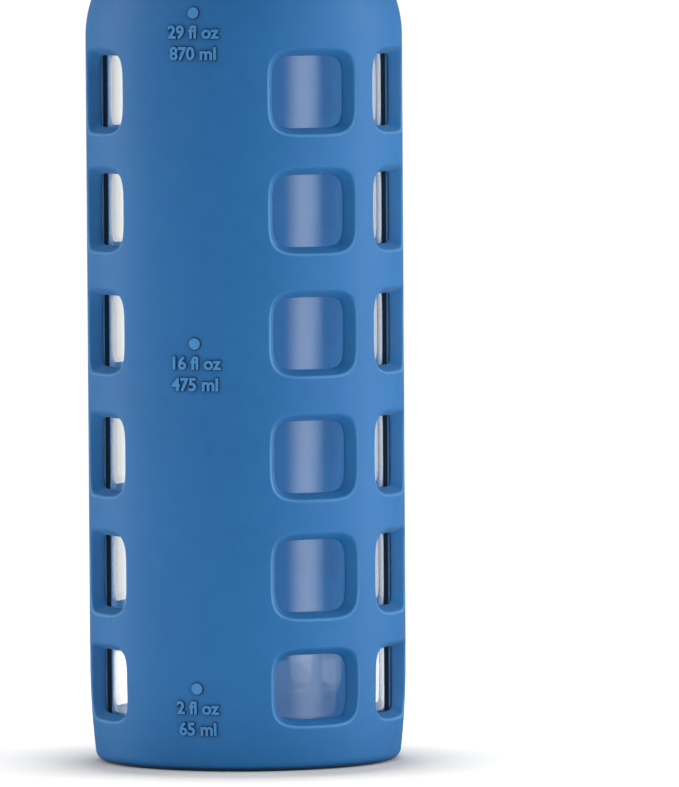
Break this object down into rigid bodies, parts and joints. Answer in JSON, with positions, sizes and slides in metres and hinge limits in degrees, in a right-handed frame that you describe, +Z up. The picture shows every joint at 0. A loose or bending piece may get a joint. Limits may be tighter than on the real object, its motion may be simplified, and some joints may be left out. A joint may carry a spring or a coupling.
{
  "type": "glass water bottle",
  "caption": "Round-shouldered glass bottle in a silicone sleeve pierced with rows of rounded square windows, with a screw lid and a swinging carry handle.",
  "frame": {"origin": "on the bottle's axis, in the plane the sleeve rests on", "axes": "+Z up along the bottle's axis; the sleeve's plain level panel faces -Y; the handle swings about X"},
  "size_m": [0.087, 0.0875, 0.2878],
  "materials": {
    "sleeve_silicone": "matte, moulded",
    "bottle_glass": "clear, polished",
    "seal_silicone": "matte, translucent white",
    "insert_steel": "spun, brushed",
    "core_plastic": "moulded",
    "lid_plastic": "fine satin texture",
    "pin_steel": "turned and polished"
  },
  "bodies": {
    "sleeve": {"silicone_sleeve": "sleeve_silicone"},
    "bottle": {"glass_bottle": "bottle_glass"},
    "insert": {"steel_insert": "insert_steel", "lid_seal": "seal_silicone"},
    "lid": {"lid_shell": "lid_plastic", "lid_core": "core_plastic", "left_pivot_pin": "pin_steel", "right_pivot_pin": "pin_steel"},
    "handle": {"carry_handle": "lid_plastic"}
  },
  "joints": [
    {"name": "bottle_lift", "type": "slide", "parent": "sleeve", "child": "bottle", "axis": [0, 0, 1], "range_m": [0, 0.225], "deforming": ["silicone_sleeve"]},
    {"name": "lid_rise", "type": "slide", "parent": "bottle", "child": "insert", "axis": [0, 0, 1], "range_m": [0, 0.018]},
    {"name": "lid_spin", "type": "hinge", "parent": "insert", "child": "lid", "pos_m": [0, 0, 0.242], "axis": [0, 0, 1], "range_deg": [0, 540]},
    {"name": "handle_swing", "type": "hinge", "parent": "lid", "child": "handle", "pos_m": [0, 0, 0.256], "axis": [1, 0, 0], "range_deg": [-95, 95]}
  ],
  "couplings": [
    {"joint": "lid_spin", "follows": "lid_rise", "rad_per_m": 523.6}
  ]
}
